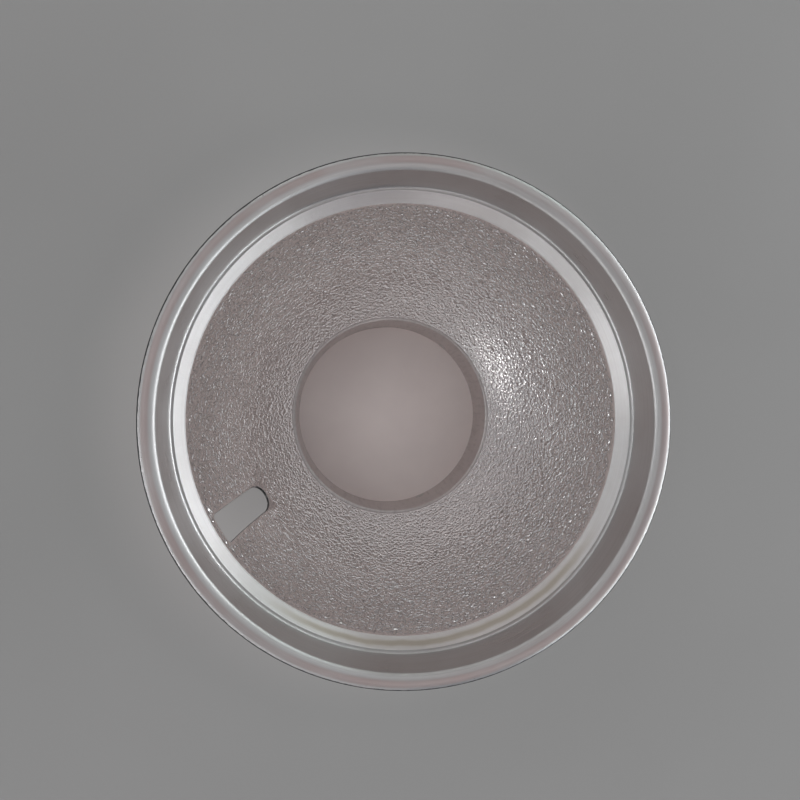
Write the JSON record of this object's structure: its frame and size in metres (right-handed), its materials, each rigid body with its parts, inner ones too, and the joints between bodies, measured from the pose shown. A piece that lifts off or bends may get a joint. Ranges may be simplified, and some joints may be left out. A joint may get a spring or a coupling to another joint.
{
  "type": "studio flash reflector",
  "caption": "Round bowl reflector for a studio flash: rolled rim, stepped grid seat, pebble-embossed lining, umbrella slot, and a bayonet neck with lugs and a stop flange.",
  "frame": {"origin": "on the reflector's axis, in the plane of the neck's rear end", "axes": "+Z along the axis, out of the open front; -Y towards the umbrella slot"},
  "size_m": [0.182, 0.182, 0.1219],
  "materials": {
    "bowl_aluminium": "bright satin, pebble embossed inside, black paint outside",
    "sleeve_aluminium": "smooth turned, slightly warm grey",
    "black_paint": "satin black paint on steel",
    "lug_steel": "zinc plated, worn on the locking faces",
    "rivet_steel": "plain steel, slightly dull"
  },
  "bodies": {
    "root": {"reflector_bowl": "bowl_aluminium", "neck_sleeve": "sleeve_aluminium", "mount_flange": "black_paint", "bayonet_lug_1": "lug_steel", "bayonet_lug_2": "lug_steel", "bayonet_lug_3": "lug_steel", "lug_rivets": "rivet_steel"}
  },
  "joints": []
}
